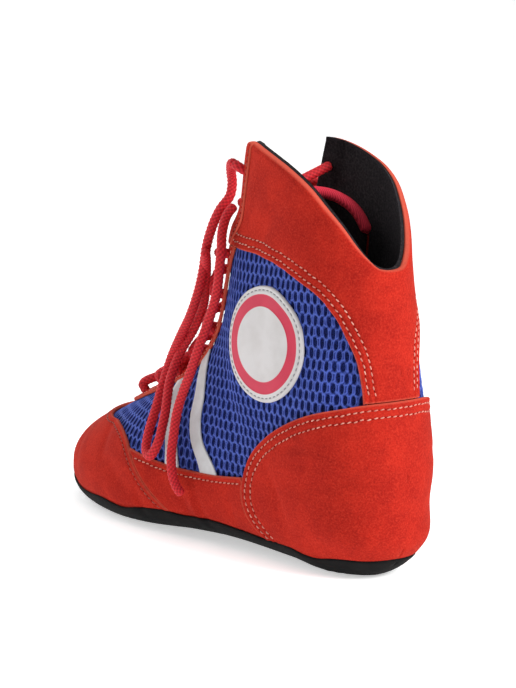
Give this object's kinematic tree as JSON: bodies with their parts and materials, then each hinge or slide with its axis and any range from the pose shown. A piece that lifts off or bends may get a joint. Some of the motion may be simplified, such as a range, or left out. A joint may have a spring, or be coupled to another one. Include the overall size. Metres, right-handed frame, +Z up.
{
  "type": "wrestling shoe",
  "caption": "Soft ankle-high wrestling shoe for the left foot, with a hollow mesh upper, suede overlays, thin rubber sole, tongue and long laces.",
  "frame": {"origin": "on the floor, at the middle of the flat spot of the sole under the heel", "axes": "+X to the toe, +Y to the outer side of the left foot, +Z up"},
  "size_m": [0.2757, 0.0975, 0.206],
  "materials": {
    "suede_red": "napped split suede",
    "mesh_blue": "padded air mesh with open holes",
    "lining_black": "brushed textile lining",
    "band_white": "smooth coated synthetic leather",
    "patch_white": "moulded soft patch, satin",
    "sole_black": "matt moulded rubber",
    "lace_red": "round braided polyester cord"
  },
  "bodies": {
    "root": {"outsole": "sole_black", "insole": "lining_black", "upper": "mesh_blue", "tongue": "suede_red", "toe_cap": "suede_red", "heel_counter": "suede_red", "rand_outer": "suede_red", "rand_inner": "suede_red", "ankle_cuff": "suede_red", "eyestay": "suede_red", "band_front_outer": "band_white", "band_front_inner": "band_white", "band_rear_outer": "band_white", "band_rear_inner": "band_white", "side_patch": "patch_white", "lace_crossings": "lace_red", "lace_bar_upper": "lace_red", "lace_bar_lower": "lace_red", "lace_loop": "lace_red", "lace_tail": "lace_red"}
  },
  "joints": []
}
